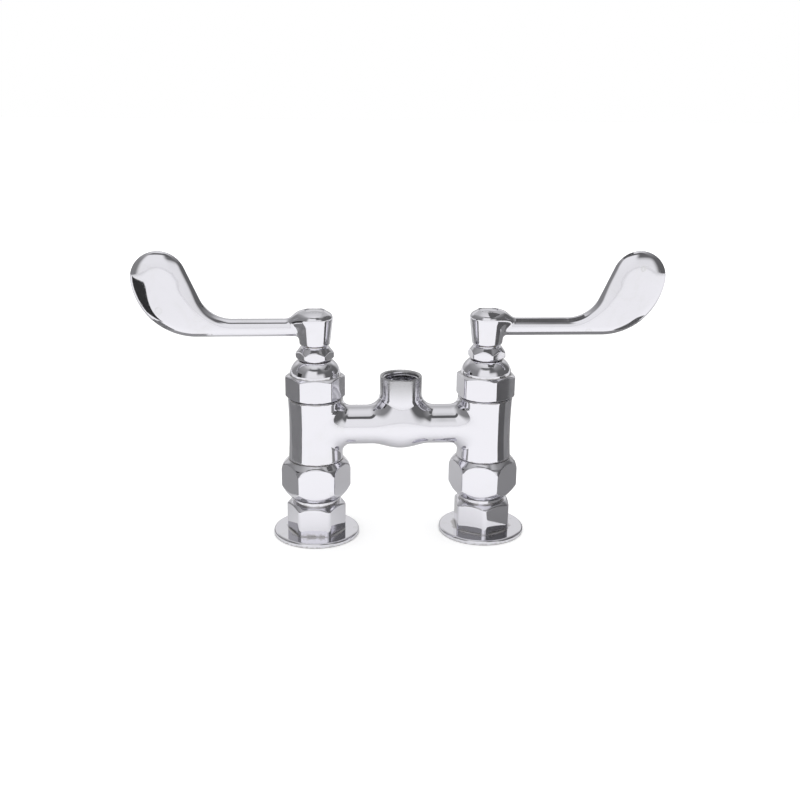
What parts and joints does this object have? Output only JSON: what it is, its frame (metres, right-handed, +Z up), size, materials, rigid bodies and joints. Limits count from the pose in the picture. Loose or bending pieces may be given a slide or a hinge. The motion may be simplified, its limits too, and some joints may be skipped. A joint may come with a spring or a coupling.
{
  "type": "basin mixer tap",
  "caption": "Deck mounted bridge mixing tap with wrist blade handles and an open threaded outlet for a spout.",
  "frame": {"origin": "on the deck, midway between the two inlet flanges", "axes": "+X to the user's right, along the crosspiece; -Y towards the user; +Z up, along the outlet"},
  "size_m": [0.3104, 0.0522, 0.1739],
  "materials": {
    "chrome_casting": "polished chrome plate on a brass casting",
    "chrome_fittings": "polished chrome plate on turned brass",
    "chrome_handles": "polished chrome plate",
    "cartridge_brass": "turned brass",
    "stainless_screw": "turned stainless steel",
    "black_rubber": "moulded rubber",
    "grey_fibre": "pressed fibre washer",
    "slippery_plastic": "white low friction plastic",
    "disc_ceramic": "lapped alumina"
  },
  "bodies": {
    "tap_body": {"body_casting": "chrome_casting", "hot_flanged_inlet": "chrome_fittings", "hot_deck_gasket": "black_rubber", "hot_union_washer": "grey_fibre", "hot_coupling_nut": "chrome_fittings", "hot_bonnet": "chrome_fittings", "hot_packing_nut": "chrome_fittings", "hot_packing_washer": "slippery_plastic", "hot_cartridge_sleeve": "cartridge_brass", "hot_cartridge_oring": "black_rubber", "hot_seat_seal": "black_rubber", "hot_fixed_disc": "disc_ceramic", "cold_flanged_inlet": "chrome_fittings", "cold_deck_gasket": "black_rubber", "cold_union_washer": "grey_fibre", "cold_coupling_nut": "chrome_fittings", "cold_bonnet": "chrome_fittings", "cold_packing_nut": "chrome_fittings", "cold_packing_washer": "slippery_plastic", "cold_cartridge_sleeve": "cartridge_brass", "cold_cartridge_oring": "black_rubber", "cold_seat_seal": "black_rubber", "cold_fixed_disc": "disc_ceramic"},
    "hot_spindle": {"hot_moving_disc": "disc_ceramic", "hot_stem": "cartridge_brass", "hot_stem_orings": "black_rubber", "hot_thrust_washer": "slippery_plastic", "hot_handle": "chrome_handles", "hot_handle_screw": "stainless_screw", "hot_index_cap": "chrome_handles"},
    "cold_spindle": {"cold_moving_disc": "disc_ceramic", "cold_stem": "cartridge_brass", "cold_stem_orings": "black_rubber", "cold_thrust_washer": "slippery_plastic", "cold_handle": "chrome_handles", "cold_handle_screw": "stainless_screw", "cold_index_cap": "chrome_handles"}
  },
  "joints": [
    {"name": "hot_handle_turn", "type": "hinge", "parent": "tap_body", "child": "hot_spindle", "pos_m": [-0.0508, 0, 0.128], "axis": [0, 0, 1], "range_deg": [0, 90]},
    {"name": "cold_handle_turn", "type": "hinge", "parent": "tap_body", "child": "cold_spindle", "pos_m": [0.0508, 0, 0.128], "axis": [0, 0, -1], "range_deg": [0, 90]}
  ]
}
